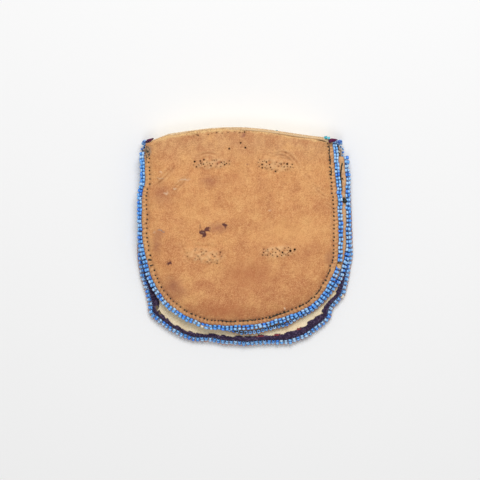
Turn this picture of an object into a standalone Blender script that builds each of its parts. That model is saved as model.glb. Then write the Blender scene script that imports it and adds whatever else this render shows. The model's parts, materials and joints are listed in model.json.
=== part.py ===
# Small hide belt pouch with bead edging, lying on its closed flap with its plain back panel up.
# X runs across the pouch, Y from its rounded bottom to its mouth, Z up. The origin is under its middle.

import math

import bmesh
import bpy
from mathutils import Vector

mm = 0.001

# Sheets, beads and the gap between pieces that touch
hide = 1.2 * mm
wool = 0.7 * mm
field_height = 1.6 * mm
bead = 1.95 * mm
bead_pitch = 2.2 * mm
bead_pair = 2.4 * mm
bead_waist = 0.72
clear = 0.3 * mm

# The pouch: height inside, and how far from the rim its back panel reaches that height
inner_height = 4.65 * mm
pillow_run = 11.0 * mm

# The three rims, each as the middle line of its edge beads. Each side is its half width, how far it draws
# in by the top, and how square its lower corner is
back_left = 51.75 * mm
back_right = 48.5 * mm
back_bottom = 45.5 * mm
back_top = 53.1 * mm
front_left = 49.0 * mm
front_right = 52.3 * mm
front_bottom = 47.6 * mm
mouth = 41.0 * mm
flap_half = 53.0 * mm
flap_bottom = 53.5 * mm

# The fold at the top: its bend, the arch of the top edge, how much further the back panel's own arch falls,
# and the gap between the panel and the flap at the crest
fold_radius = 2.5 * mm
arch_crest = -5.5 * mm
arch_half = 56.0 * mm
flap_arch = 5.4 * mm
arch_ease = 0.7 * mm
seam_gap = 0.45 * mm

# The wool binding's flange on each face of the flap, and its tucks
binding_inside = 1.6 * mm
binding_outside = 4.2 * mm
binding_lip = 0.3 * mm
tuck_step = 0.8 * mm
tuck_pitch = 7.0 * mm

# The bead field: its lanes, the rows of beads across each lane, how far a row stands out, how wide it is at
# its crest, and how far its ends slope
lane = 13.5 * mm
field_row = 2.45 * mm
row_relief = 0.7 * mm
row_crest = 1.1 * mm
row_end = 0.7 * mm

# Holes that the belt loops and the flap's seam left in the back panel: place and radius
loop_holes = (
    (23.4, -7.0, 0.8),
    (25.9, -6.0, 0.6),
    (11.5, 35.5, 0.5),
    (20.0, 37.0, 0.5),
    (-21.5, 37.2, 0.5),
    (-12.0, 36.6, 0.5),
    (-24.5, -7.5, 0.45),
    (-6.7, 44.0, 0.55),
    (-1.2, 47.0, 0.5),
)
hole_sides = 6

# Heights, each from the piece below
hide_low = field_height + clear
flap_mid = hide_low + hide / 2
front_mid = hide_low + hide + clear + wool + clear + bead / 2
back_mid = front_mid + bead + clear
back_rim_low = back_mid - hide / 2
rise = inner_height - (back_rim_low - front_mid - hide / 2)
pouch_top = back_rim_low + rise + hide
edge_out = bead_pair / 2 + clear
binding_out = edge_out + wool + clear
back_arch = flap_arch + arch_ease
flap_fold = back_top + seam_gap + hide / 2 - fold_radius
hinge_y = flap_fold + fold_radius - hide / 2 - clear / 2
hinge_z = pouch_top + clear / 2
straight_wall = pouch_top - flap_mid - fold_radius
flap_length = flap_fold + fold_radius * math.pi / 2 + straight_wall


class Rim:
    """A U: two sides that draw in towards the top, and two quarter curves that meet at the bottom."""

    def __init__(self, left, right, bottom, top, draw, square):
        self.wide = {-1: left, 1: right}
        self.bottom = bottom
        self.top = top
        self.draw = {-1: draw[0], 1: draw[1]}
        self.square = {-1: square[0], 1: square[1]}

    def half(self, side, y):
        if y >= 0:
            return self.wide[side] - self.draw[side] * min(1, y / self.top) ** 1.2
        power = self.square[side]
        inside = max(0.0, 1 - (-y / self.bottom) ** power)
        return self.wide[side] * inside ** (1 / power)

    def dense(self, start):
        """Close points down the left side from the height start, round the bottom and up the right."""
        steps = 400
        down = []
        for i in range(steps + 1):
            turn = i / steps
            down.append(start * (1 - 2 * turn) if turn < 0.5 else -self.bottom * math.sin((turn - 0.5) * math.pi))
        left = [Vector((-self.half(-1, y), y)) for y in down]
        right = [Vector((self.half(1, y), y)) for y in down[-2::-1]]
        return left + right

    def stations(self, start, pitch):
        """Points an equal way apart, near pitch, each with its outward direction."""
        line = self.dense(start)
        reach = [0.0]
        for a, b in zip(line, line[1:]):
            reach.append(reach[-1] + (b - a).length)
        count = max(8, round(reach[-1] / pitch))
        count += count % 2
        found = []
        at = 0
        for i in range(count + 1):
            goal = reach[-1] * i / count
            while at < len(line) - 2 and reach[at + 1] < goal:
                at += 1
            along = (line[at + 1] - line[at]).normalized()
            share = (goal - reach[at]) / (reach[at + 1] - reach[at])
            found.append((line[at].lerp(line[at + 1], share), Vector((along.y, -along.x))))
        return found


back_rim = Rim(back_left, back_right, back_bottom, back_top, (1.4 * mm, 3.2 * mm), (2.2, 2.15))
front_rim = Rim(front_left, front_right, front_bottom, mouth, (1.5 * mm, 1.0 * mm), (2.0, 2.05))
flap_rim = Rim(flap_half, flap_half, flap_bottom, flap_fold, (3.2 * mm, 4.6 * mm), (2.75, 2.4))


def drop(x, arch):
    """How far the arched top edge lies below its crest."""
    turn = max(-1.0, min(1.0, (x - arch_crest) / arch_half))
    return arch * (0.5 - 0.5 * math.cos(math.pi * turn))


def bow(x, y, top, arch):
    """y with the arch of the top edge eased in over the upper half."""
    share = max(0.0, min(1.0, y / top))
    return y - drop(x, arch) * share * share


def swell(inward):
    """How far the back panel stands above its sewn rim, at a distance in from it."""
    share = max(0.0, 1 - max(0.0, inward) / pillow_run)
    return rise * (1 - share * share)


def on_flap(x, y, lift):
    """A point of the flap, laid flat to its fold and turned up past it, as high as the back panel's edge.

    lift is from the flap's middle, inwards.
    """
    base = bow(x, min(y, flap_fold), flap_fold, flap_arch)
    past = max(0.0, y - flap_fold)
    turn = min(past / fold_radius, math.pi / 2)
    side = 1 if x > 0 else -1
    inward = back_rim.half(side, back_top) - edge_out - abs(x)
    share = (straight_wall - rise + swell(inward)) / straight_wall
    up = max(0.0, past - fold_radius * math.pi / 2) * share
    reach = fold_radius - lift
    return Vector((x, base + reach * math.sin(turn), flap_mid + fold_radius - reach * math.cos(turn) + up))


def bend_rows():
    """How far past the fold each row of the bend lies, then the top of the standing part."""
    return [fold_radius * math.pi / 8 * k for k in range(1, 5)] + [flap_length - flap_fold]


def flap_stations(pitch):
    """Points round the flap's rim, with one at each row of the bend on both sides."""
    flat = flap_rim.stations(flap_fold, pitch)
    first, last = flat[0][0], flat[-1][0]
    past = bend_rows()
    down = [(Vector((first.x, flap_fold + way)), Vector((-1, 0))) for way in reversed(past)]
    up = [(Vector((last.x, flap_fold + way)), Vector((1, 0))) for way in past]
    return down + flat + up


def on_back(x, y, lift):
    return Vector((x, bow(x, y, back_top, back_arch), back_mid + lift))


def on_front(x, y, lift):
    return Vector((x, y, front_mid + lift))


def add(name, points, faces, color, roughness, origin=(0, 0, 0), smooth=35):
    """One closed body with its own material, its faces turned out."""
    mesh = bpy.data.meshes.new(name)
    start = Vector(origin)
    mesh.from_pydata([Vector(p) - start for p in points], [], faces)
    body = bmesh.new()
    body.from_mesh(mesh)
    bmesh.ops.recalc_face_normals(body, faces=body.faces)
    body.to_mesh(mesh)
    body.free()
    mesh.shade_smooth()
    mesh.set_sharp_from_angle(angle=math.radians(smooth))
    material = bpy.data.materials.new(name)
    material.use_nodes = True
    shader = material.node_tree.nodes["Principled BSDF"]
    shader.inputs["Base Color"].default_value = (*color, 1)
    shader.inputs["Roughness"].default_value = roughness
    mesh.materials.append(material)
    made = bpy.data.objects.new(name, mesh)
    made.location = start
    bpy.context.scene.collection.objects.link(made)
    return made


def sheet(rows_low, rows_high):
    """Points and faces of a closed sheet between two grids of the same rows and columns."""
    deep = len(rows_low)
    across = len(rows_low[0])
    points = [p for rows in (rows_low, rows_high) for row in rows for p in row]
    layer = deep * across
    faces = []
    for i in range(deep - 1):
        for j in range(across - 1):
            a = i * across + j
            quad = (a, a + 1, a + across + 1, a + across)
            faces.append(quad)
            faces.append(tuple(layer + k for k in reversed(quad)))
    rim = [j for j in range(across)]
    rim += [i * across + across - 1 for i in range(1, deep)]
    rim += [(deep - 1) * across + j for j in range(across - 2, -1, -1)]
    rim += [i * across for i in range(deep - 2, 0, -1)]
    for a, b in zip(rim, rim[1:] + rim[:1]):
        faces.append((b, a, layer + a, layer + b))
    return points, faces


def rope(rings):
    """Points and faces of a closed tube through rings of equal size, with flat ends."""
    size = len(rings[0])
    points = [p for ring in rings for p in ring]
    faces = [tuple(range(size)), tuple(len(points) - size + k for k in reversed(range(size)))]
    for i in range(len(rings) - 1):
        for k in range(size):
            a = i * size + k
            b = i * size + (k + 1) % size
            faces.append((a, a + size, b + size, b))
    return points, faces


def edge_beads(name, rim, start, place, origin=(0, 0, 0)):
    """A row of bead pairs side by side round a rim: full at the middle of each pair, waisted between pairs."""
    rings = []
    for i, (point, out) in enumerate(rim.stations(start, bead_pitch / 2)):
        full = 1.0 if i % 2 else bead_waist
        across = bead_pair / 2 * (1 + full) / 2
        tall = bead / 2 * full
        corners = ((-across, -tall), (across, -tall), (across, tall), (-across, tall))
        ring = []
        for side, lift in corners:
            x, y = point + out * side
            ring.append(place(x, y, lift))
        rings.append(ring)
    add(name, *rope(rings), (0.05, 0.22, 0.72), 0.25, origin, 50)


def leather_rows(rim, start, inset, pitch, columns):
    """Rows of points from the left of a rim to its right, inset from it, from its top down."""
    line = [point - out * inset for point, out in rim.stations(start, pitch)]
    half = len(line) // 2
    rows = []
    for i in range(half):
        left = line[i]
        right = line[-1 - i]
        shares = [0.5 - 0.5 * math.cos(math.pi * j / (columns - 1)) for j in range(columns)]
        rows.append([left.lerp(right, share) for share in shares])
    return rows


def from_rim(point, line):
    """The distance from a point to the nearest stretch of a rim's line."""
    best = 1.0
    for a, b in zip(line, line[1:]):
        along = b - a
        share = max(0.0, min(1.0, (point - a).dot(along) / along.length_squared))
        best = min(best, (point - a - along * share).length)
    return best


def back_panel():
    """The back panel: low at its sewn rim, and up at full height over the mouth's whole width."""
    line = [point - out * edge_out for point, out in back_rim.stations(back_top * 1.2, 4 * mm)]
    low = []
    high = []
    for row in leather_rows(back_rim, back_top, edge_out, 5 * mm, 11):
        under = []
        for point in row:
            under.append(on_back(point.x, point.y, swell(from_rim(point, line)) - hide / 2))
        low.append(under)
        high.append([p + Vector((0, 0, hide)) for p in under])
    panel = add("back_panel", *sheet(low, high), (0.62, 0.33, 0.13), 0.75)
    pierce(panel)


def pierce(panel):
    """Needle holes through the back panel."""
    points = []
    faces = []
    for x, y, radius in loop_holes:
        rings = []
        for z in (0, 2 * pouch_top):
            turns = [2 * math.pi * k / hole_sides for k in range(hole_sides)]
            rings.append([Vector((x * mm + radius * mm * math.cos(t), y * mm + radius * mm * math.sin(t), z)) for t in turns])
        made, sides = rope(rings)
        faces += [tuple(k + len(points) for k in face) for face in sides]
        points += made
    needle = add("needle", points, faces, (0, 0, 0), 1)
    needle.hide_render = True
    needle.display_type = "WIRE"
    cut = panel.modifiers.new("needle holes", "BOOLEAN")
    cut.operation = "DIFFERENCE"
    cut.solver = "EXACT"
    cut.object = needle


def front_panel():
    low = []
    high = []
    for row in leather_rows(front_rim, mouth, edge_out, 6 * mm, 3):
        low.append([on_front(p.x, p.y, -hide / 2) for p in row])
        high.append([on_front(p.x, p.y, hide / 2) for p in row])
    add("front_panel", *sheet(low, high), (0.58, 0.33, 0.15), 0.8)


def flap_hide(origin):
    """The flap: flat to its fold, then up behind the mouth to the back panel's top edge."""
    inset = binding_out
    flat = leather_rows(flap_rim, flap_fold, inset, 8 * mm, 13)
    rows = [[Vector((p.x, flap_fold + past)) for p in flat[0]] for past in reversed(bend_rows())]
    rows += flat
    low = [[on_flap(p.x, p.y, -hide / 2) for p in row] for row in rows]
    high = [[on_flap(p.x, p.y, hide / 2) for p in row] for row in rows]
    add("flap_hide", *sheet(low, high), (0.85, 0.76, 0.58), 0.85, origin)


def wool_binding(origin):
    """Cloth folded round the flap's rim. Its inner flange has a tuck at each pitch, and none on the fold."""
    rings = []
    face = hide / 2 + clear
    for i, (point, out) in enumerate(flap_stations(tuck_pitch / 2)):
        turned_up = point.y > flap_fold - fold_radius * 2
        inner = -binding_lip if turned_up else binding_inside + (tuck_step if i % 2 else 0)
        edge = -binding_out
        section = (
            (edge - binding_outside, -face),
            (edge - binding_outside, -face - wool),
            (-edge_out, -face - wool),
            (-edge_out, face + wool),
            (edge - inner, face + wool),
            (edge - inner, face),
            (edge + clear, face),
            (edge + clear, -face),
        )
        ring = []
        for side, lift in section:
            x, y = point + out * side
            ring.append(on_flap(x, y, lift))
        rings.append(ring)
    add("flap_wool_binding", *rope(rings), (0.035, 0.015, 0.05), 0.95, origin)


def bead_field(origin):
    """Lanes of bead rows sewn on the flap's outer face. The rows stand side by side across each lane."""
    inset = binding_out + binding_outside + clear
    start = flap_fold - fold_radius
    low = []
    high = []
    for row in leather_rows(flap_rim, start, inset, 7 * mm, 5):
        flat = [on_flap(p.x, p.y, 0) for p in row]
        low.append([Vector((p.x, p.y, -field_height)) for p in flat])
        high.append([Vector((p.x, p.y, 2 * field_height)) for p in flat])
    field = add("flap_bead_field", *bead_rows(), (0.02, 0.42, 0.55), 0.3, origin)
    outline = add("field_outline", *sheet(low, high), (0, 0, 0), 1)
    outline.hide_render = True
    outline.display_type = "WIRE"
    cut = field.modifiers.new("field outline", "BOOLEAN")
    cut.operation = "INTERSECT"
    cut.solver = "EXACT"
    cut.object = outline


def bead_rows():
    """Points and faces of a slab over the whole flap with each row of each lane as a rib under it."""
    columns = 2 * math.ceil(flap_half / field_row) + 1
    lanes = 2 * math.ceil(flap_bottom / lane) + 1
    xs = [(i - columns / 2) * field_row for i in range(columns + 1)]
    ys = [(k - lanes / 2) * lane for k in range(lanes + 1)]
    points = [Vector((x, y, row_relief)) for y in ys for x in xs]
    faces = []
    for k in range(lanes):
        for i in range(columns):
            middle = (xs[i] + xs[i + 1]) / 2
            crest = len(points)
            for y in (ys[k] + row_end, ys[k + 1] - row_end):
                for side in (-row_crest / 2, row_crest / 2):
                    points.append(Vector((middle + side, y, 0)))
            a = k * (columns + 1) + i
            ring = (a, a + 1, a + columns + 2, a + columns + 1)
            top = (crest, crest + 1, crest + 3, crest + 2)
            faces.append(top)
            for n in range(4):
                faces.append((ring[n], ring[(n + 1) % 4], top[(n + 1) % 4], top[n]))
    roof = len(points)
    for y in (ys[0], ys[-1]):
        for x in (xs[0], xs[-1]):
            points.append(Vector((x, y, field_height)))
    wide = columns + 1
    faces.append((roof, roof + 1, roof + 3, roof + 2))
    faces.append((roof, roof + 1, *range(columns, -1, -1)))
    faces.append((roof + 2, roof + 3, *range(lanes * wide + columns, lanes * wide - 1, -1)))
    faces.append((roof, roof + 2, *range(lanes * wide, -1, -wide)))
    faces.append((roof + 1, roof + 3, *range(lanes * wide + columns, 0, -wide)))
    return points, faces


def main():
    for old in list(bpy.data.objects):
        bpy.data.objects.remove(old, do_unlink=True)
    hinge = (0, hinge_y, hinge_z)
    back_panel()
    front_panel()
    edge_beads("back_edge_beads", back_rim, back_top, on_back)
    edge_beads("front_edge_beads", front_rim, mouth, on_front)
    flap_hide(hinge)
    wool_binding(hinge)
    edge_beads("flap_edge_beads", flap_rim, flap_length, on_flap, hinge)
    bead_field(hinge)


main()
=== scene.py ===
import json
import math

import bpy
import numpy as np
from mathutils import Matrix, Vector


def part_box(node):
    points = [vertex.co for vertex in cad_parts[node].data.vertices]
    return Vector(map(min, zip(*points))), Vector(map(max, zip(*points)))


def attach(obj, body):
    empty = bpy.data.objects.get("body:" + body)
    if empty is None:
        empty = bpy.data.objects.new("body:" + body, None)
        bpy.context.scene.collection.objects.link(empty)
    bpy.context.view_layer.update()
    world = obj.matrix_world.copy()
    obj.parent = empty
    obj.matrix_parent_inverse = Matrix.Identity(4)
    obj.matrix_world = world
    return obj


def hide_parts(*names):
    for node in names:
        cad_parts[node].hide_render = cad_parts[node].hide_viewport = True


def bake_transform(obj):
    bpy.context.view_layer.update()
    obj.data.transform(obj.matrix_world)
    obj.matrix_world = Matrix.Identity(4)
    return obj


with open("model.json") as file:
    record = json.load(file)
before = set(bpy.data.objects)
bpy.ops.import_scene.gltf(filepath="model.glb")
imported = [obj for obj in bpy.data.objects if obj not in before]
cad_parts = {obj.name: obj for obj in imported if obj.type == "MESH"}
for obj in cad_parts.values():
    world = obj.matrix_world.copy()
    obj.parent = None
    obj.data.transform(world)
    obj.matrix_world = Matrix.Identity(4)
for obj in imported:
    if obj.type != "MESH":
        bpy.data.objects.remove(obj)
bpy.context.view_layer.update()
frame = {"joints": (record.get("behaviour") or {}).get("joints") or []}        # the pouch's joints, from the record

mm = 0.001  # every size below is in millimetres
rimStep = 0.3  # between the points of a smooth line


def layer(node):  # a node's lowest and highest height
    low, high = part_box(node)
    return low[2] / mm, high[2] / mm


# Plane curves

def evenly(line, step):
    reach = np.concatenate([[0], np.cumsum(np.linalg.norm(np.diff(line, axis=0), axis=1))])
    count = max(2, int(round(reach[-1] / step)))
    goal = np.linspace(0, reach[-1], count + 1)
    return np.column_stack([np.interp(goal, reach, line[:, k]) for k in range(line.shape[1])])


def smoothLine(points, step=rimStep):  # a curve through the points, in equal steps
    p = np.array(points, float)
    p = np.vstack([2 * p[0] - p[1], p, 2 * p[-1] - p[-2]])
    t = np.linspace(0, 1, 24, endpoint=False)[:, None]
    spans = []
    for a, b, c, d in zip(p, p[1:], p[2:], p[3:]):
        bend = 2 * b + (c - a) * t + (2 * a - 5 * b + 4 * c - d) * t**2
        spans.append(0.5 * (bend + (3 * b - a - 3 * c + d) * t**3))
    return evenly(np.vstack(spans + [p[-2:-1]]), step)


def ringOf(line, count):  # a closed line as so many points
    length = np.linalg.norm(np.diff(line, axis=0), axis=1).sum()
    return evenly(line, length / count)[:-1]


def unit(rows):
    return rows / np.maximum(np.linalg.norm(rows, axis=1), 1e-9)[:, None]


def outward(line):  # away from the pouch, for a line down the left side and up the right
    along = unit(np.gradient(line, axis=0))
    return np.column_stack([along[:, 1], -along[:, 0]])


def inset(line, distance):
    return line - outward(line) * distance


def nearest(points, line):  # distance to the line, and which of its points is nearest
    gap = np.empty(len(points))
    at = np.empty(len(points), int)
    for start in range(0, len(points), 4000):
        part = slice(start, start + 4000)
        far = np.linalg.norm(points[part, None, :] - line[None], axis=2)
        at[part] = far.argmin(1)
        gap[part] = far.min(1)
    return gap, at


def ripple(points, size, seed, waves=12):  # unevenness from about -1 to 1, in lumps of this size
    draw = np.random.default_rng(seed)
    total = np.zeros(len(points))
    for _ in range(waves):
        turn = draw.uniform(0, 2 * math.pi)
        pull = 2 * math.pi / (size * draw.uniform(0.7, 1.7))
        aim = [math.cos(turn) * pull, math.sin(turn) * pull]
        total += np.sin(points[:, :2] @ aim + draw.uniform(0, 6.3))
    return total / math.sqrt(waves) * 0.8


def ease(x):
    x = np.clip(x, 0, 1)
    return x * x * (3 - 2 * x)


def bell(x, middle, width):
    return np.exp(-(((x - middle) / width) ** 2))


# How the flat hides lie in the pouch

heights = {
    "flap": layer("flap_bead_field")[1] + 0.9,
    "front": sum(layer("front_edge_beads")) / 2,
    "back": sum(layer("back_edge_beads")) / 2,
}
hide = layer("front_panel")[1] - layer("front_panel")[0]
fold = {  # the turn at the top of the flap, and the arch of the top edge
    "start": 51.65, "radius": 2.5, "arch": 5.4, "crest": -5.5, "half": 56.0, "length": 62.35,
    "left": -48.5, "right": 43.8, "leftDip": (2.1, 30.0, 12.0), "rightDip": (1.3, 44.8, 4.5),
}
pillow = {
    "top": 53.1, "arch": 6.0, "sag": 0.6, "run": 11.0,
    "rise": layer("back_panel")[1] - hide / 2 - heights["back"],
}
stand = layer("back_panel")[1] - heights["flap"] - fold["radius"]


def drop(x, arch):  # how far the arched top edge lies below its crest
    turn = np.clip((x - fold["crest"]) / fold["half"], -1, 1)
    return arch * (0.5 - 0.5 * np.cos(math.pi * turn))


def dip(x):  # how much further the two top corners sag
    far = np.abs(x - fold["crest"])
    sags = [deep * ease((far - start) / run) for deep, start, run in (fold["leftDip"], fold["rightDip"])]
    return np.where(x < 0, *sags)


def bow(x, y, top, arch, sag=1.0):
    return y - (drop(x, arch) + dip(x) * sag) * np.clip(y / top, 0, 1) ** 2


# From a place seen from above to the flat hide
def laid(points, top=pillow["top"], arch=pillow["arch"], sag=pillow["sag"]):
    p = np.array(points, float)
    pull = (drop(p[:, 0], arch) + dip(p[:, 0]) * sag) / top**2 + 1e-9
    y = np.maximum(p[:, 1], 0)
    flat = (1 - np.sqrt(np.maximum(0, 1 - 4 * pull * y))) / (2 * pull)
    return np.column_stack([p[:, 0], np.where(p[:, 1] > 0, flat, p[:, 1])])


def swell(inward):  # the height of the back panel over its sewn rim
    share = np.clip(1 - np.maximum(inward, 0) / pillow["run"], 0, 1)
    return pillow["rise"] * (1 - share**2)


def onFlap(plan, lift):  # plan is on the flap laid flat, lift is from its middle, inwards
    x, y = plan[:, 0], plan[:, 1]
    base = bow(x, np.minimum(y, fold["start"]), fold["start"], fold["arch"])
    past = np.maximum(0, y - fold["start"])
    turn = np.minimum(past / fold["radius"], math.pi / 2)
    inward = np.where(x > 0, fold["right"] - x, x - fold["left"])
    share = (stand - pillow["rise"] + swell(inward)) / stand
    up = np.maximum(0, past - fold["radius"] * math.pi / 2) * share
    reach = fold["radius"] - lift
    z = heights["flap"] + fold["radius"] - reach * np.cos(turn) + up
    return np.column_stack([x, base + reach * np.sin(turn), z])


def onFront(plan, lift):
    return np.column_stack([plan, heights["front"] + lift + np.zeros(len(plan))])


def onBack(plan, lift):
    y = bow(plan[:, 0], plan[:, 1], pillow["top"], pillow["arch"], pillow["sag"])
    return np.column_stack([plan[:, 0], y, heights["back"] + lift + np.zeros(len(plan))])


# The middle of each row of edge beads, read from the photograph from the left top round to the right
rims = {
    "back": [
        (-50.5, 41.6), (-50.6, 40.0), (-50.3, 36.7), (-50.4, 32.9), (-50.1, 29.8), (-50.3, 26.8),
        (-51.3, 23.7), (-51.7, 20.5), (-51.8, 14), (-51.8, 6), (-51.5, -0.3), (-51.1, -4.2), (-50.3, -8),
        (-49.4, -11.8), (-48.4, -15.6), (-47.3, -19.4), (-45.7, -23.3), (-43.4, -27.1), (-40.9, -30.9),
        (-37.3, -34.8), (-32.2, -38.7), (-29.2, -40.5), (-24.5, -42.4), (-20.7, -43.9), (-16.8, -44.8),
        (-9.2, -45.4), (-3.5, -45.3), (1.1, -45.2), (8.7, -44.3), (12.6, -43.4), (20.2, -41.1),
        (27.9, -38.3), (31.7, -36.5), (35.5, -34.0), (39.3, -30.2), (43.1, -24.2), (45.6, -19.4),
        (46.9, -15.7), (48.0, -12.4), (48.3, -8), (48.4, -4.2), (48.6, 0), (48.5, 6.1), (48.2, 13.8),
        (48.1, 19.5), (47.7, 23.3), (47.2, 27.2), (46.9, 31), (46.4, 36.7), (46.1, 42.5), (45.4, 47.3),
    ],
    "front": [
        (-48.0, 40.5), (-48.8, 20), (-49.0, 2), (-47.4, -12), (-43.4, -23.5), (-37.6, -31.6),
        (-31.0, -37.0), (-24.0, -41.0), (-16.0, -43.9), (-9.0, -45.8), (-2.8, -47.3), (2.2, -47.8),
        (8.7, -46.9), (12.6, -45.9), (20.2, -44.3), (22.1, -43.4), (25.9, -41.2), (30.9, -38.4),
        (35.5, -35.7), (39.0, -32.6), (41.3, -30.3), (44.6, -26), (46.6, -23.3), (48.7, -19.4),
        (50.0, -15.6), (51.1, -11.8), (51.8, -8), (52.3, -4.2), (52.3, 3.5), (52.5, 8), (52.3, 17.6),
        (52.1, 21.4), (52.4, 26.0), (52.5, 28.5), (52.1, 31.4), (51.7, 35.2), (51.5, 39.6),
    ],
    "flap": [
        (-50.7, 44.2), (-51.1, 42.4), (-50.8, 36), (-50.9, 28), (-51.6, 20), (-51.7, 8), (-51.9, -2),
        (-51.9, -8), (-51.6, -11.8), (-51.0, -15.6), (-50.4, -19.4), (-49.2, -23.3), (-48.0, -27.1),
        (-47.2, -30.9), (-46.4, -34.0), (-46.5, -36.4), (-45.3, -39.0), (-43.2, -40.6), (-41.1, -42.4),
        (-38.6, -44.3), (-35.8, -46.2), (-32.7, -47.8), (-30.0, -49.3), (-25.3, -50.8), (-20.3, -51.1),
        (-14.9, -51.3), (-12.3, -52.0), (-9.2, -52.7), (-2.8, -53.0), (1.1, -53.3), (8.0, -52.7),
        (13.3, -52.5), (17.9, -52.5), (21.0, -52.6), (24.0, -51.8), (29.6, -50.0), (33.0, -48.1),
        (35.2, -46.2), (38.0, -44.3), (40.3, -42.3), (42.4, -40.2), (43.0, -37.8), (43.7, -35.5),
        (45.8, -32.9), (47.7, -30.9), (49.2, -29.0), (50.0, -27.1), (51.0, -23.3), (51.8, -19.4),
        (52.3, -15.6), (53.2, -11), (53.4, -6), (53.2, 0), (52.8, 12), (52.2, 25), (51.2, 34),
        (49.8, 40.5), (50.0, 42.4), (49.8, 44.2),
    ],
}
backRim = smoothLine(laid(rims["back"]))
frontRim = smoothLine(rims["front"])
flapRim = smoothLine(np.vstack([
    [(-48.9, fold["length"]), (-50.0, fold["start"])],
    laid(rims["flap"], fold["start"], fold["arch"], 1.0),
    [(48.8, fold["start"]), (47.4, fold["length"])],
]))


# Meshes

def newPiece(name, points, faces, finish, smooth=True, **spread):  # spread: values kept on each point
    mesh = bpy.data.meshes.new(name)
    found = faces if isinstance(faces, list) else faces.tolist()
    mesh.from_pydata((np.asarray(points) * mm).tolist(), [], found)
    if smooth:
        mesh.shade_smooth()
    for key, values in spread.items():
        kept = mesh.attributes.new(key, "FLOAT", "POINT")
        kept.data.foreach_set("value", np.asarray(values, np.float32))
    piece = bpy.data.objects.new(name, mesh)
    bpy.context.scene.collection.objects.link(piece)
    mesh.materials.append(finish)
    return piece


def joined(parts):  # many small meshes as one: points and faces
    points, faces, start = [], [], 0
    for made, found in parts:
        points.append(made)
        faces += [[v + start for v in face] for face in found]
        start += len(made)
    return np.vstack(points), faces


def grid(count, rings):  # the quads between closed rings of points
    i = np.arange(count)
    j = (i + 1) % count
    band = np.column_stack([i, j, count + j, count + i])
    return np.vstack([band + k * count for k in range(rings - 1)])


# Shares of the thickness: what is left of each half at the rim, and how far the rim bulges
sheetRim = {"thin": 0.6, "round": 0.25}


def sheetOver(outline, shares, lowShares, place, thick):  # a sheet with a soft rim, fine above and plain below
    middle = np.array([-1.5, 1.0])
    count = len(outline)
    i = np.arange(count)
    j = (i + 1) % count

    def face(parts, side):
        plan = np.vstack([middle + (outline - middle) * s for s in parts] + [middle[None]])
        half = np.full(len(plan), side * thick / 2)
        half[:count] *= sheetRim["thin"]
        last = (len(parts) - 1) * count
        fan = np.column_stack([last + i, last + j, np.full(count, last + count)])
        return plan, place(plan, half), grid(count, len(parts)), fan

    plan, top, quads, fan = face(shares, 1)
    lowPlan, low, lowQuads, lowFan = face(lowShares, -1)
    edge = outline + unit(outline - middle) * thick * sheetRim["round"]
    rim = place(edge, np.zeros(count))
    under, side = len(plan), len(plan) + len(lowPlan)
    parts = [
        quads, fan, lowQuads[:, ::-1] + under, lowFan[:, ::-1] + under,
        np.column_stack([side + i, side + j, j, i]),
        np.column_stack([under + i, under + j, side + j, side + i]),
    ]
    found = [corners for part in parts for corners in part.tolist()]
    return np.vstack([top, low, rim]), found, np.vstack([plan, lowPlan, edge]), under


def padded(kept, count):  # values of a sheet's upper face, and 0 for its other points
    return {key: np.concatenate([values, np.zeros(count)]) for key, values in kept.items()}


def sweep(rings, closed=False):  # a tube through rings of points
    count, size = rings.shape[:2]
    k = np.arange(size)
    n = (k + 1) % size
    faces = []
    for i in range(count if closed else count - 1):
        a, b = i * size, (i + 1) % count * size
        faces.append(np.column_stack([a + k, a + n, b + n, b + k]))
    found = np.vstack(faces).tolist()
    if not closed:
        found += [k[::-1].tolist(), ((count - 1) * size + k).tolist()]
    return rings.reshape(-1, 3), found


def strand(line, radius, sides=6, taper=0.0):  # a thread along a line in space
    line = np.asarray(line, float)
    along = unit(np.gradient(line, axis=0))
    side = unit(np.cross(along, [0.13, 0.21, 0.97]))
    up = np.cross(side, along)
    turns = np.linspace(0, 2 * math.pi, sides, endpoint=False)
    size = radius * (1 - taper * np.linspace(0, 1, len(line)))[:, None, None]
    ring = side[:, None] * np.cos(turns)[None, :, None] + up[:, None] * np.sin(turns)[None, :, None]
    return sweep(line[:, None] + ring * size)


# One seed bead, and where shade is painted on its glass: in its hole, on the sides that face its neighbours,
# and a little at its ends
def beadMesh(width, across, around, section, hole=0.34):
    full = 2.6  # how square its section is
    turns = np.linspace(0, 2 * math.pi, section, endpoint=False) + math.pi / section
    cut = (across / 2 - hole) / 2
    x = np.sign(np.cos(turns)) * np.abs(np.cos(turns)) ** (2 / full) * width / 2
    r = hole + cut + np.sign(np.sin(turns)) * np.abs(np.sin(turns)) ** (2 / full) * cut
    spin = np.linspace(0, 2 * math.pi, around, endpoint=False)
    rings = [np.column_stack([x, r * math.cos(a), r * math.sin(a)]) for a in spin]
    points, faces = sweep(np.array(rings), closed=True)
    out = np.hypot(points[:, 1], points[:, 2])
    # painted shade: darkest in the hole, then on the sides that face the neighbouring beads, and a little at
    # the ends
    boreShade = 1 - ease((out - hole) / (across / 2 - hole) / 0.32)
    side = ease((np.abs(points[:, 1]) / (across / 2) - 0.5) / 0.45)
    end = ease((np.abs(points[:, 0]) / (width / 2) - 0.7) / 0.3) * 0.2
    return points, faces, np.maximum(np.maximum(boreShade, side * 0.9), end)


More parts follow.
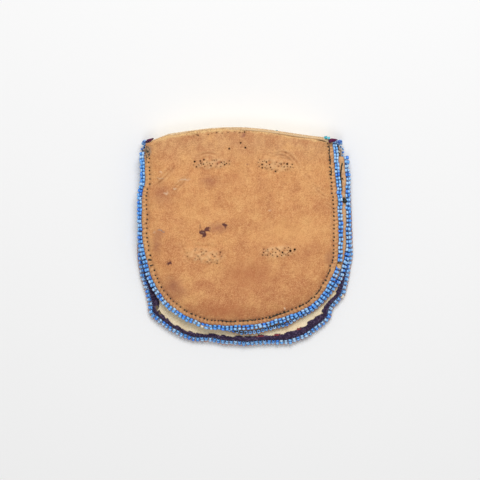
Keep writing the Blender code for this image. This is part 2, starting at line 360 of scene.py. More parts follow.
# Many beads as one piece, each at its centre, along its axis
def strung(name, finish, bead, centres, axes, ups, draw, uneven, sizes=None, odd=0.0):
    base, faces, deep = bead
    faces = np.array(faces)
    axes, ups = (np.broadcast_to(part, np.shape(centres)) for part in (axes, ups))
    sides = np.cross(ups, axes)
    points, found, tints = [], [], []
    for n, (centre, axis, side, up) in enumerate(zip(centres, axes, sides, ups)):
        grow = (1 + draw.normal(0, 0.05, 3) * uneven) * (1 if sizes is None else sizes[n])
        turn = np.column_stack([axis, side, up]) + draw.normal(0, 0.06, (3, 3)) * uneven
        points.append(base * grow @ turn.T + centre + draw.normal(0, 0.06, 3) * uneven)
        found.append(faces + n * len(base))
        tints.append(np.full(len(base), draw.uniform()))
    odds = np.repeat(np.broadcast_to(odd, len(points)), len(base))
    # deep: the painted shade of each bead, in its hole and where it meets its neighbours
    return newPiece(name, np.vstack(points), np.vstack(found), finish,
                    tint=np.concatenate(tints), odd=odds, deep=np.tile(deep, len(points)))


# Finishes

def tone(red, green, blue):  # a colour from 0 to 255 as the eye sees it
    parts = [c / 255 / 12.92 if c < 10.3 else ((c / 255 + 0.055) / 1.055) ** 2.4 for c in (red, green, blue)]
    return (*parts, 1)


class Value:  # a socket that Python's operators work on
    def __init__(self, finish, socket):
        self.finish = finish
        self.socket = socket

    def maths(self, operation, *values):
        return self.finish.node("Math", {"operation": operation}, values)

    def __add__(self, other):
        return self.maths("ADD", self, other)

    def __mul__(self, other):
        return self.maths("MULTIPLY", self, other)

    def __sub__(self, other):
        return self.maths("SUBTRACT", self, other)

    def __rsub__(self, other):
        return self.maths("SUBTRACT", other, self)

    def __truediv__(self, other):
        return self.maths("DIVIDE", self, other)

    __radd__ = __add__

    def clamp(self):
        return self.finish.node("Clamp", {}, {"Value": self})


class Finish:  # one material and its nodes
    def __init__(self, name):
        self.material = bpy.data.materials.new(name)
        self.material.use_nodes = True
        self.tree = self.material.node_tree
        self.tree.nodes.clear()

    def node(self, kind, settings=None, sockets=(), output=0):
        made = self.tree.nodes.new("ShaderNode" + kind)
        for key, value in (settings or {}).items():
            setattr(made, key, value)
        for key, value in sockets.items() if isinstance(sockets, dict) else enumerate(sockets):
            if isinstance(value, Value):
                self.tree.links.new(value.socket, made.inputs[key])
            else:
                made.inputs[key].default_value = value
        return Value(self, made.outputs[output]) if made.outputs else made

    def place(self):  # where a point is, in millimetres
        spot = self.node("TexCoord", {}, (), "Object")
        return self.node("VectorMath", {"operation": "SCALE"}, {0: spot, "Scale": 1 / mm}, "Vector")

    def vector(self, operation, a, b):
        return self.node("VectorMath", {"operation": operation}, (a, b), "Vector")

    def turned(self, place, angle):
        turn = {"Vector": place, "Angle": angle}
        return self.node("VectorRotate", {"rotation_type": "Z_AXIS"}, turn, "Vector")

    def noise(self, place, scale, detail=3.0, rough=0.55, stretch=None):
        if stretch:
            place = self.vector("MULTIPLY", place, stretch)
        values = {"Vector": place, "Scale": scale, "Detail": detail, "Roughness": rough}
        return self.node("TexNoise", {}, values)

    def warp(self, place, scale, reach):  # places pushed about, so that patches get ragged edges
        push = self.node("TexNoise", {}, {"Vector": place, "Scale": scale, "Detail": 4.0}, "Color")
        push = self.vector("SUBTRACT", push, (0.5, 0.5, 0.5))
        return self.vector("ADD", place, self.vector("MULTIPLY", push, (reach, reach, 0)))

    def mix(self, low, high, share):
        return self.node("Mix", {"data_type": "RGBA"}, {0: share, 6: low, 7: high}, 2)

    # The high colour where a field is past the start, or below it if the gain is negative
    def over(self, colour, high, field, start, gain, share):
        return self.mix(colour, high, ((field - start) * gain).clamp() * share)

    def kept(self, key):  # a value kept on the mesh's points
        return self.node("Attribute", {"attribute_name": key}, (), "Fac")

    def bump(self, height, distance, strength):
        return self.node("Bump", {}, {"Height": height, "Distance": distance * mm, "Strength": strength})

    def spot(self, place, x, y, wide, tall, soft):  # a patch round a place: 1 inside, 0 outside
        off = self.vector("SUBTRACT", place, (x, y, 0))
        off = self.vector("MULTIPLY", off, (1 / wide, 1 / tall, 0))
        far = self.node("VectorMath", {"operation": "LENGTH"}, {0: off}, "Value")
        return ((1 - far) / soft).clamp()

    def close(self, **sockets):  # the shader, then the material
        values = {key.replace("_", " "): value for key, value in sockets.items()}
        shader = self.node("BsdfPrincipled", {}, values)
        self.node("OutputMaterial", {}, {"Surface": shader})
        return self.material


print("stage: finishes")


def tones(**colours):
    return {kind: tone(*colour) for kind, colour in colours.items()}


# of the last colours, crease is painted shade in the creases and seam puckers, and the one before it is
# painted highlight on their banks and paler leather at the needle marks
hideTones = tones(
    middle=(220, 152, 93), red=(182, 108, 66), dull=(208, 156, 108), light=(236, 176, 111), dark=(96, 50, 42),
    purple=(150, 88, 70), grey=(140, 142, 140), pale=(240, 212, 182), edge=(240, 202, 140),
    groove=(166, 104, 62), lift=(238, 184, 126), raised=(240, 194, 140), crease=(132, 76, 40),
)
stains = [  # colour, x, y, width, height, softness, strength
    ("dark", -20.1, 1.8, 2.2, 2.2, 0.5, 1.7), ("pale", -20.3, 2.0, 0.8, 0.8, 0.8, 0.2),
    ("dark", -18.1, 3.8, 1.4, 1.3, 0.6, 1.4), ("dark", -21.4, 5.6, 0.7, 1.9, 0.8, 0.6),
    ("purple", -13.0, 4.6, 7.0, 3.6, 1.0, 0.6), ("dark", -8.9, 6.0, 1.6, 1.8, 0.6, 1.2),
    ("dark", -36.7, -12.8, 1.6, 1.5, 0.7, 1.5), ("purple", -17.0, 27.5, 6.6, 4.4, 1.0, 0.45),
    ("purple", -43.4, -4.4, 3.4, 6.4, 1.0, 0.6), ("purple", -42.2, 1.6, 3.8, 3.4, 1.0, 0.45),
    ("purple", -35.4, -25.2, 7.0, 8.0, 1.0, 0.62), ("purple", -30.0, -28.0, 4.0, 4.0, 1.0, 0.3),
    ("purple", -40.5, 20.5, 7.0, 8.0, 1.0, 0.42), ("red", 2.0, -19.0, 16.0, 12.0, 1.0, 0.6),
    ("purple", 42.6, -10.8, 3.6, 6.0, 1.0, 0.5), ("red", -12.6, 37.2, 3.4, 1.4, 0.8, 0.9),
    ("purple", -0.3, 50.3, 2.0, 1.2, 0.8, 0.75), ("dark", 1.3, 52.8, 1.0, 0.5, 0.8, 0.6),
    ("grey", -41.2, 3.2, 1.7, 0.6, 0.7, 0.75), ("pale", -44.0, 2.6, 1.2, 0.9, 0.9, 0.3),
    ("pale", -29.6, 28.6, 3.6, 0.8, 0.9, 0.55), ("pale", -38.6, 21.6, 1.4, 0.9, 0.7, 0.5),
    ("pale", -41.0, 32.0, 0.9, 0.7, 0.7, 0.5), ("pale", -34.4, 24.4, 1.2, 0.8, 0.8, 0.5),
    ("grey", -47.2, 42.6, 1.5, 3.4, 0.8, 0.4), ("red", -9.0, -37.0, 18.0, 6.0, 1.0, 0.6),
    ("purple", 2.2, 36.6, 0.8, 0.7, 0.8, 0.6), ("red", -3.0, 30.0, 6.0, 8.0, 1.0, 0.25),
    ("light", 22.0, 2.0, 22.0, 9.0, 1.0, 0.55), ("light", -24.0, 15.0, 14.0, 9.0, 1.0, 0.3),
    ("pale", 20.6, -36.0, 0.7, 0.7, 0.8, 0.6), ("pale", -41.0, 29.6, 2.0, 0.5, 0.8, 0.4),
    ("purple", 44.6, -13.6, 1.6, 2.6, 0.9, 0.4), ("pale", 12.6, 13.0, 1.2, 1.0, 0.8, 0.3),
]


def tanHide(name, spots, shade):
    f = Finish(name)
    place = f.place()
    warped = f.warp(place, 0.4, 4.5)
    y = f.node("SeparateXYZ", {}, (warped,), "Y")
    cloud = f.noise(place, 0.07, 4.0, 0.6)
    patch = f.noise(warped, 0.28, 5.0, 0.7)
    grain = f.noise(place, 1.5, 5.0, 0.7)
    speck = f.noise(place, 0.9, 6.0, 0.8)
    fine = f.noise(place, 2.1, 3.0, 0.7)
    fibre = f.noise(f.turned(place, 0.35), 0.9, 3.0, 0.6, (1.0, 0.25, 1.0))
    broad = f.noise(place, 0.11, 3.0, 0.5)
    low = ((y * -1 - 4) / 32 + (cloud - 0.5) * 2.0).clamp()
    colour = f.mix(shade["middle"], shade["red"], low * 0.72)
    top = ((y - 34) / 12 + (cloud - 0.5) * 0.8).clamp()
    colour = f.mix(colour, shade["dull"], top * 0.8)
    mottle = [  # colour, field, start, gain, share
        ("light", broad, 0.5, 5, 0.8), ("red", broad, 0.5, -5, 0.6),
        ("light", patch, 0.5, 4, 0.68), ("red", patch, 0.49, -4, 0.62),
        ("lift", fibre, 0.5, 4, 0.24), ("groove", fibre, 0.5, -4, 0.24),
        ("lift", speck, 0.5, 4.5, 0.5), ("groove", speck, 0.5, -4.5, 0.6),
        ("lift", fine, 0.5, 7, 0.6), ("groove", fine, 0.5, -7, 0.52),
    ]
    for kind, field, start, gain, share in mottle:
        colour = f.over(colour, shade[kind], field, start, gain, share)
    for kind, sx, sy, wide, tall, soft, strength in spots:
        mask = f.spot(warped, sx, sy, wide, tall, soft) * (0.45 + patch * 1.1)
        colour = f.mix(colour, shade[kind], (mask * (fine * 0.7 + 0.65) * strength).clamp())
    # painted shade in creases and seam puckers, painted highlight on their banks with paler leather at the
    # needle marks, and painted shade round the needle holes
    for kind, key, share in (("raised", "puff", 0.55), ("crease", "groove", 0.9), ("dark", "worn", 0.8)):
        colour = f.mix(colour, shade[kind], f.kept(key).clamp() * share)
    cut = f.kept("cut").clamp()
    colour = f.mix(colour, shade["edge"], (cut * (fine * 3.2 - 0.9)).clamp() * 0.85)
    colour = f.mix(colour, shade["dark"], (cut * ((0.47 - speck) * 9).clamp()).clamp() * 0.65)
    height = grain * 0.5 + speck * 0.4 + fibre * 0.4 + patch * 0.3
    return f.close(Base_Color=colour, Roughness=0.74 - patch * 0.14, Normal=f.bump(height, 0.4, 0.6),
                   Sheen_Weight=0.1, Sheen_Roughness=0.5, Specular_IOR_Level=0.3)


def creamHide(name, pale, warm, stain, rough):
    f = Finish(name)
    place = f.place()
    hatch = f.noise(f.turned(place, 0.8), 1.3, 3.0, 0.6, (1.0, 0.2, 1.0))
    cloud = f.noise(place, 0.14, 4.0, 0.6)
    grain = f.noise(place, 3.0, 3.0)
    colour = f.over(pale, warm, cloud, 0.42, 2.4, 0.7)
    colour = f.over(colour, stain, hatch, 0.47, -5, 0.55)
    raw = f.kept("raw").clamp()
    colour = f.mix(colour, rough, raw * (0.45 + ((0.55 - grain) * 5).clamp() * 0.5))
    height = hatch * 0.6 + grain * 0.4
    return f.close(Base_Color=colour, Roughness=0.85, Normal=f.bump(height, 0.3, 0.7),
                   Sheen_Weight=0.15, Sheen_Roughness=0.5, Specular_IOR_Level=0.25)


woolSpots = [  # colour, x, y, width, height: faded red at a tuck, olive where it is worn through
    ("red", 26.6, -46.0, 2.8, 0.8), ("red", 16.0, -49.0, 3.0, 0.6), ("red", 8.0, -49.6, 3.0, 0.5),
    ("olive", -43.2, -35.6, 1.0, 1.8), ("olive", -41.6, -38.0, 1.3, 1.1), ("plum", -46.0, 49.0, 4.0, 2.2),
    ("plum", 44.6, 48.4, 3.8, 2.4), ("bare", 48.2, 43.4, 1.3, 4.0), ("bare", -49.4, 43.6, 1.0, 2.6),
]


def woolCloth(name, shade):
    f = Finish(name)
    place = f.place()
    warped = f.warp(place, 1.2, 1.4)
    nap = f.noise(place, 1.1, 4.0, 0.75)
    weave = f.noise(place, 4.5, 2.0, 0.6)
    cloud = f.noise(place, 0.25, 3.0)
    colour = f.over(shade["dark"], shade["deep"], cloud, 0.4, 3, 0.7)
    colour = f.over(colour, shade["grey"], nap, 0.5, 7, 0.7)
    colour = f.over(colour, shade["deep"], weave, 0.48, -6, 0.5)
    for kind, sx, sy, wide, tall in woolSpots:
        colour = f.mix(colour, shade[kind], f.spot(warped, sx, sy, wide, tall, 0.6) * 0.85)
    return f.close(Base_Color=colour, Roughness=0.95, Normal=f.bump(nap * 0.7 + weave * 0.3, 0.4, 0.9),
                   Sheen_Weight=0.25, Sheen_Roughness=0.4, Specular_IOR_Level=0.15)


def glassBeads(name, deep, middle, light, dark, odd):
    f = Finish(name)
    tint = f.kept("tint")
    grain = f.noise(f.place(), 1.2, 2.0)
    colour = f.mix(deep, middle, (tint * 2.2).clamp())
    colour = f.mix(colour, light, ((tint - 0.5) * 1.6).clamp())
    # painted shade in the holes and between neighbouring beads
    colour = f.mix(colour, dark, f.kept("deep").clamp() * (0.8 + grain * 0.4))
    colour = f.mix(colour, odd, f.kept("odd").clamp())
    return f.close(Base_Color=colour, Roughness=0.22 + grain * 0.14, Specular_IOR_Level=0.5,
                   Coat_Weight=0.3, Coat_Roughness=0.15)


def spunThread(name, dark, light):
    f = Finish(name)
    ply = f.noise(f.place(), 2.2, 2.0)
    colour = f.over(dark, light, ply, 0.5, 4, 1)
    return f.close(Base_Color=colour, Roughness=0.7, Normal=f.bump(ply, 0.1, 0.6))


frontStains = stains[9:11]  # the two at its left edge
frontTones = {**hideTones, "middle": tone(230, 186, 142)}
woolTones = tones(
    dark=(58, 44, 70), deep=(28, 20, 40), grey=(124, 106, 134), red=(160, 66, 62), plum=(104, 28, 72),
    olive=(124, 110, 78), bare=(226, 188, 146),
)
creamTones = tones(pale=(255, 237, 200), warm=(255, 220, 170), stain=(206, 160, 108), rough=(206, 158, 104))
# in each bead set, dark is the painted shade in the holes and between the beads
blueTones = tones(
    deep=(56, 140, 250), middle=(116, 190, 255), light=(198, 232, 255), dark=(0, 50, 146), odd=(246, 226, 196),
)
turquoiseTones = tones(
    deep=(52, 176, 194), middle=(84, 210, 226), light=(140, 234, 244), dark=(12, 104, 124),
    odd=(236, 232, 214),
)
finishes = {
    "back": tanHide("smoked hide of the back", stains, hideTones),
    "front": tanHide("smoked hide of the front", frontStains, frontTones),
    "cream": creamHide("cream hide", **creamTones),
    "wool": woolCloth("dark wool", woolTones),
    "blue": glassBeads("blue beads", **blueTones),
    "turquoise": glassBeads("turquoise beads", **turquoiseTones),
    "thread": spunThread("sewing thread", tone(30, 30, 26), tone(92, 96, 78)),
    "grey": spunThread("grey thread", tone(92, 82, 66), tone(190, 178, 156)),
    "copper": spunThread("rust thread", tone(170, 96, 66), tone(222, 160, 128)),
    "fuzz": spunThread("loose fibres of hide", tone(214, 170, 112), tone(248, 232, 204)),
}


def onPouch(piece, slot, node=None):  # node: the solid that the piece stands for
    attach(piece, "pouch")
    if node:
        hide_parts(node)


print("stage: back panel")

backPanel = {
    "edgeIn": 1.2, "around": 700, "top": 116, "seamIn": 3.4, "pitchLeft": 2.5, "pitchRight": 2.08,
    "wave": 0.32, "fine": 0.13, "topShift": 0.8, "needleLow": 6.2, "needleHigh": 13.5, "topPoints": 160,
}
# Where a belt loop was sewn on: middle, half width, half height, tilt, fine holes, how far it puffs up
needleMarks = [
    (-15.8, 36.6, 9.2, 2.1, 0.0, 12, 0.5), (16.2, 35.8, 9.0, 2.6, -0.05, 16, 0.6),
    (-19.4, -9.2, 9.4, 3.4, -0.1, 20, 0.7), (17.4, -7.3, 8.6, 2.4, 0.06, 16, 0.5),
]
bigHoles = [  # x, y, radius
    (-24.3, 37.5, 0.46), (-23.4, 34.9, 0.34), (-21.5, 37.8, 0.4), (-19.7, 38.4, 0.42),
    (-21.2, 36.7, 0.34), (-20.0, 36.2, 0.32), (-19.3, 35.0, 0.22), (-16.2, 35.4, 0.32),
    (-14.6, 38.2, 0.3), (-13.0, 36.3, 0.24), (-11.1, 37.1, 0.3), (-9.6, 37.3, 0.24), (-9.4, 36.0, 0.38),
    (-8.4, 36.5, 0.28), (-7.1, 37.8, 0.28), (-7.1, 36.3, 0.24), (11.4, 37.3, 0.38), (9.2, 36.0, 0.42),
    (9.3, 34.4, 0.38), (10.7, 34.4, 0.24), (12.9, 36.0, 0.32), (13.5, 34.6, 0.28), (18.7, 36.3, 0.34),
    (20.2, 36.7, 0.28), (21.7, 36.3, 0.5), (20.2, 34.8, 0.28), (23.4, 34.8, 0.3), (24.2, 36.1, 0.3),
    (15.9, 32.6, 0.4), (14.1, 33.5, 0.2), (8.0, 38.4, 0.2), (10.1, -6.1, 0.26), (12.0, -6.4, 0.22),
    (14.5, -6.1, 0.24), (17.0, -6.1, 0.26), (10.0, -7.7, 0.28), (9.5, -9.0, 0.28), (12.0, -9.0, 0.26),
    (14.5, -9.0, 0.26), (16.0, -7.7, 0.24), (16.8, -9.7, 0.32), (17.9, -6.9, 0.22), (19.4, -7.7, 0.46),
    (19.0, -9.2, 0.28), (20.6, -5.6, 0.26), (22.3, -5.3, 0.24), (23.3, -6.9, 0.62), (25.5, -6.25, 0.56),
    (22.4, -9.1, 0.26), (-20.9, -7.4, 0.24), (-18.6, -7.2, 0.26), (-11.5, -7.6, 0.3),
    (-14.2, -9.7, 0.24), (-13.2, -13.1, 0.3), (-7.1, 43.9, 0.44), (-1.4, 46.8, 0.42), (0.9, 44.4, 0.44),
]
# wide, deep and bank shape each crease; the last two set how strongly shade is painted in it and highlight on
# its bank
crease = {"wide": 1.15, "deep": 0.7, "bank": 0.4, "groove": 0.85, "puff": 0.9}
creases = [  # points, depth, width
    ([(14.5, 40.0), (17.1, 40.9), (20.2, 40.5), (22.5, 39.0), (24.8, 37.1)], 0.75, 0.4),
    ([(14.8, 41.3), (18.7, 42.2), (22.1, 41.5), (24.8, 39.0), (27.1, 36.0), (28.2, 33.3)], 0.7, 0.45),
    ([(18.7, 39.5), (21.0, 39.0), (23.3, 37.5)], 0.5, 0.34),
    ([(12.4, 38.6), (14.2, 39.6), (16.4, 39.9)], 0.35, 0.4),
    ([(-24.5, 39.6), (-21.4, 40.9), (-17.6, 41.7), (-13.8, 40.9), (-11.9, 40.0)], 0.5, 0.42),
    ([(-45.2, 25.2), (-42.1, 27.2), (-39.0, 29.8), (-36.0, 32.9), (-34.1, 35.2)], 0.7, 0.4),
    ([(-45.4, 28.3), (-42.5, 29.1), (-40.2, 31.0), (-38.3, 32.9), (-36.0, 35.2)], 0.55, 0.36),
    ([(-34.4, 22.2), (-32.1, 24.9), (-29.8, 27.2), (-27.2, 30.2)], 0.65, 0.36),
    ([(-34.6, 24.4), (-32.4, 26.6), (-30.2, 28.6), (-27.8, 31.0)], 0.55, 0.34),
    ([(-33.6, 27.2), (-31.0, 28.9), (-28.3, 30.4), (-26.4, 31.6)], 0.4, 0.34),
    ([(-32.9, 39.8), (-31.0, 41.3), (-29.1, 42.8)], 0.3, 0.4),
    ([(30.5, 31.4), (33.6, 28.7)], 0.35, 0.4), ([(34.7, 26.0), (37.8, 24.1), (40.5, 22.9)], 0.45, 0.4),
    ([(35.5, 24.9), (38.2, 21.8), (40.5, 20.3), (42.8, 19.9)], 0.55, 0.38),
    ([(41.0, 17.0), (43.0, 15.4), (45.0, 14.6)], 0.35, 0.4),
    ([(-30.4, -5.2), (-28.9, -8.2), (-27.6, -11.0), (-25.0, -12.8)], 0.4, 0.5),
    ([(-26.6, -4.6), (-22.0, -4.2), (-17.0, -4.6), (-12.0, -5.6)], 0.25, 0.6),
    ([(-10.4, -7.0), (-10.6, -9.6), (-11.6, -12.0)], 0.3, 0.5),
    ([(1.6, 29.4), (2.2, 33.4), (1.4, 36.4)], 0.2, 0.5),
    ([(12.0, -12.4), (17.0, -13.2), (22.0, -12.6)], 0.15, 0.9),
]
topAcross = np.linspace(backRim[-1, 0] - 1.2, backRim[0, 0] + 1.4, backPanel["topPoints"])
panelTop = np.column_stack([topAcross, np.full(len(topAcross), pillow["top"])])
seamLine = inset(backRim, backPanel["seamIn"])


def seamSpots():  # the running stitch's holes, closer on the right than on the left
    draw = np.random.default_rng(17)
    reach = np.arange(len(seamLine)) * rimStep
    spots, at = [], 1.0
    while at < reach[-1] - 1:
        share = at / reach[-1]
        spots.append([np.interp(at, reach, seamLine[:, 0]), np.interp(at, reach, seamLine[:, 1])])
        late = ease((share - 0.3) / 0.2)
        pitch = backPanel["pitchLeft"] * (1 - late) + backPanel["pitchRight"] * late
        at += pitch * draw.uniform(0.86, 1.14)
    spots = np.array(spots)
    return spots + draw.normal(0, 0.16, spots.shape)


seamHoles = seamSpots()


def holeSpots():  # every needle hole: x, y, radius
    draw = np.random.default_rng(7)
    spots = list(bigHoles)
    for x, y, wide, tall, tilt, count, _ in needleMarks:
        found = []
        for _ in range(6000):
            if len(found) == count:
                break
            px, py = draw.uniform(-1, 1, 2)
            near = (x + px * wide, y + py * tall * math.sqrt(1 - 0.7 * px * px) + tilt * px * wide)
            if all(math.hypot(near[0] - q[0], near[1] - q[1]) > 0.9 for q in found + bigHoles):
                found.append((*near, draw.uniform(0.13, 0.22)))
        spots += found
    for _ in range(16):  # along the raw top edge, where the flap is sewn on
        x = draw.uniform(-27, 3)
        y = pillow["top"] - 1.1 - drop(x, pillow["arch"]) + draw.normal(0, 0.3)
        spots.append((x, y, draw.uniform(0.14, 0.26)))
    spots = np.array(spots)
    spots[:, :2] = laid(spots[:, :2])
    return np.vstack([spots, np.column_stack([seamHoles, draw.uniform(0.32, 0.46, len(seamHoles))])])


holes = holeSpots()


def roundHole(plan, x, y):  # which points are near a hole, and how far they are from its middle
    near = np.flatnonzero((np.abs(plan[:, 0] - x) < 2) & (np.abs(plan[:, 1] - y) < 2))
    return near, np.hypot(plan[near, 0] - x, plan[near, 1] - y)


def backRelief(plan):  # the pillow of the panel, its folds, puckers and puffs, and where shade and highlight are painted on them
    inward, _ = nearest(plan, backRim)
    z = swell(inward - 1.6)
    z += ripple(plan, 24, 3) * backPanel["wave"] * ease(inward / 14)
    z += ripple(plan, 5, 4) * backPanel["fine"] * ease(inward / 5)
    seam, along = nearest(plan, seamLine)
    turns = along * rimStep * 2 * math.pi
    z -= 0.34 * bell(seam, 0, 0.8)
    z += 0.2 * bell(inward, 2.2, 1.0) * np.sin(turns / 2.3 + ripple(plan, 9, 6) * 2)
    z += 0.12 * bell(inward, 5.2, 1.4) * ripple(plan, 2.6, 5)
    # painted shade in the seam's pucker grooves and painted highlight between them
    pucker = np.sin(turns / 2.06 + inward * 1.3 + ripple(plan, 8, 7))
    groove = 0.5 * np.clip(pucker, 0, 1) ** 2 * bell(inward, 1.9, 0.7)
    puff = 0.8 * bell(inward, 2.3, 1.0) * np.clip(0.6 - 0.6 * pucker, 0, 1)
    uneven = 0.8 + 0.3 * ripple(plan, 3, 8)
    for points, depth, width in creases:
        line = smoothLine(laid(points), 0.4)
        far, k = nearest(plan, line)
        fade = np.sin(math.pi * np.clip((k + 1) / len(line), 0.06, 1)) ** 0.6 * uneven
        width = width * crease["wide"]
        z -= depth * crease["deep"] * fade * bell(far, 0, width)
        z += depth * crease["bank"] * fade * bell(far, 2.0 * width, width)
        # painted shade along the crease and painted highlight on its bank
        groove = np.maximum(groove, depth * crease["groove"] * fade * bell(far, 0, width * 0.85))
        puff = np.maximum(puff, depth * crease["puff"] * fade * bell(far, 1.9 * width, width))
    patchy = 0.75 + 0.5 * ripple(plan, 2.4, 9)
    bumpy = 1 + 0.55 * ripple(plan, 2.2, 10)
    for x, y, wide, tall, tilt, _, rise in needleMarks:
        x, y = laid([(x, y)])[0]
        off = plan[:, 1] - y - tilt * (plan[:, 0] - x)
        far = np.hypot((plan[:, 0] - x) / (wide + 2.0), off / (tall + 1.5))
        mark = ease(1.7 - 1.7 * far)
        # paler leather and painted highlight over the needle marks, which stand up
        puff = np.maximum(puff, mark * patchy)
        z += rise * mark * bumpy
    for x, y, radius in holes:
        near, far = roundHole(plan, x, y)
        z[near] -= 0.2 * bell(far, 0, radius + 0.4)
    return z, puff, groove


def makeBackPanel():
    side = inset(backRim, backPanel["edgeIn"])
    outline = ringOf(evenly(np.vstack([side, panelTop[1:-1], side[:1]]), 0.4), backPanel["around"])
    flatX = outline * [1, 0]
    ragged = ease((outline[:, 1] - 51) / 2) * ease((46 - np.abs(outline[:, 0] + 1)) / 4)
    outline[:, 1] += ragged * (ripple(flatX, 1.8, 21) * 0.16 + ripple(flatX, 9, 22) * 0.22)
    outline[:, 1] += ragged * backPanel["topShift"] * (0.25 + 0.75 * ease((2 - outline[:, 0]) / 16))
    kept = {}

    def place(plan, lift):
        z, puff, groove = backRelief(plan)
        if lift.max() > 0:
            kept.update(puff=puff, groove=groove)
        return onBack(plan, z + lift)

    shares = 1 - np.linspace(0, 1, backPanel["top"], endpoint=False)
    lowShares = [1, 0.97, 0.92, 0.85, 0.7, 0.45, 0.2]
    points, faces, plan, under = sheetOver(outline, shares, lowShares, place, hide)
    worn = np.zeros(len(plan))
    # painted shade round each needle hole
    for x, y, radius in holes:
        near, far = roundHole(plan, x, y)
        worn[near] = np.maximum(worn[near], 0.5 * np.exp(-np.maximum(far - radius, 0) / 0.28))
    start = 52.2 + 0.35 * ripple(plan * [1, 0], 5, 24) + 0.2 * ripple(plan * [1, 0], 1.4, 25)
    cut = ease((plan[:, 1] - start) / 0.9) * ease((46 - np.abs(plan[:, 0])) / 6)
    panel = newPiece("backPanelHide", points, faces, finishes["back"], worn=worn, cut=cut,
                     **padded(kept, len(plan) - under))
    return pierced(panel)


def pierced(panel):  # cuts the needle holes through
    turns = np.linspace(0, 2 * math.pi, 9, endpoint=False)
    parts = []
    for x, y, radius in holes:
        at = onBack(np.array([[x, y]]), 0)[0]
        ring = np.column_stack([at[0] + radius * np.cos(turns), at[1] + radius * np.sin(turns)])
        ends = [np.column_stack([ring, np.full(9, backPanel[end])]) for end in ("needleLow", "needleHigh")]
        parts.append(sweep(np.array(ends)))
    needle = newPiece("needle", *joined(parts), finishes["thread"])
    cut = panel.modifiers.new("needle holes", "BOOLEAN")
    cut.object = needle
    cut.solver = "MANIFOLD"
    cut.operation = "DIFFERENCE"
    graph = bpy.context.evaluated_depsgraph_get()
    mesh = bpy.data.meshes.new_from_object(panel.evaluated_get(graph))
    panel.modifiers.clear()
    panel.data = mesh
    bpy.data.objects.remove(needle)
    return panel


def surfaceOf(plan):  # places on the back panel's upper face
    return onBack(plan, backRelief(plan)[0] + hide / 2)


onPouch(makeBackPanel(), "tan_hide", "back_panel")

print("stage: front panel")

frontPanel = {"edgeIn": 1.25, "around": 420, "rings": 46}


def makeFrontPanel():
    side = inset(frontRim, frontPanel["edgeIn"])
    across = np.linspace(side[-1, 0], side[0, 0], 80)[1:-1]
    mouth = np.column_stack([across, side[0, 1] + 0.4 * np.sin(across / 9)])
    outline = ringOf(np.vstack([side, mouth, side[:1]]), frontPanel["around"])
    relief = {}

    def place(plan, lift):
        inward, _ = nearest(plan, frontRim)
        z = 0.12 * ripple(plan, 20, 31) * ease(inward / 8) - 0.2 * bell(inward, 3.4, 0.9)
        z += 0.16 * bell(inward, 2.4, 1.2) * ripple(plan, 2.4, 32)
        if lift.max() > 0:
            # painted highlight along the band inside the rim, and darker patches at random in the crease
            # colour
            relief["puff"] = 0.6 * bell(inward, 2.4, 1.6) * (1 + ripple(plan, 3, 33))
            relief["groove"] = 0.5 * np.clip(ripple(plan, 2.2, 34), 0, 1)
        return onFront(plan, z * (lift > 0) + lift)

    shares = 1 - np.linspace(0, 1, frontPanel["rings"], endpoint=False)
    points, faces, plan, under = sheetOver(outline, shares, [1, 0.95, 0.8, 0.5, 0.2], place, hide)
    flat = np.zeros(len(plan))
    return newPiece("frontPanelHide", points, faces, finishes["front"], worn=flat, cut=flat,
                    **padded(relief, len(plan) - under))


onPouch(makeFrontPanel(), "tan_hide", "front_panel")

print("stage: flap")

flap = {"edgeIn": 2.0, "around": 460, "rings": 70, "seamLean": 0.55, "leftLow": 1.1}
hinge = frame["joints"][0]["pos_m"]
turnEnd = (0, hinge[1], (heights["flap"] + 1.5) * mm)


def crossesHinge(piece, slot, node=None):
    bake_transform(piece)
    if node:
        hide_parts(node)


def makeFlapHide():
    side = inset(flapRim, flap["edgeIn"])
    across = np.linspace(side[-1, 0], side[0, 0], 120)
    low = flap["leftLow"] * ease((2 - across) / 16) * ease((across + 46) / 4)
    top = np.column_stack([across, fold["length"] - low])
    outline = ringOf(np.vstack([side, top[1:-1], side[:1]]), flap["around"])

    def place(plan, lift):
        flat = ease((46 - plan[:, 1]) / 10)
        wave = 0.12 * ripple(plan, 12, 41) * flat + 0.05 * ripple(plan, 3, 42) * flat
        lean = flap["seamLean"] * ease((plan[:, 1] - fold["length"] + 3.0) / 2.4) * (lift >= 0)
        return onFlap(plan, lift + wave + lean)

    shares = 1 - np.linspace(0, 1, flap["rings"], endpoint=False)
    points, faces, plan, _ = sheetOver(outline, shares, shares, place, hide)
    raw = ease((plan[:, 1] - 60.6) / 1.2)
    return newPiece("flapHide", points, faces, finishes["cream"], raw=raw)


crossesHinge(makeFlapHide(), "cream_hide", "flap_hide")

woolStrip = {
    "edge": 1.3, "outside": 6.6, "outsidePastFold": 4.2, "thick": 0.7, "pitch": 6.4, "step": 0.9, "lift": 0.3,
    "lineStep": 0.4, "rough": 0.07,
}
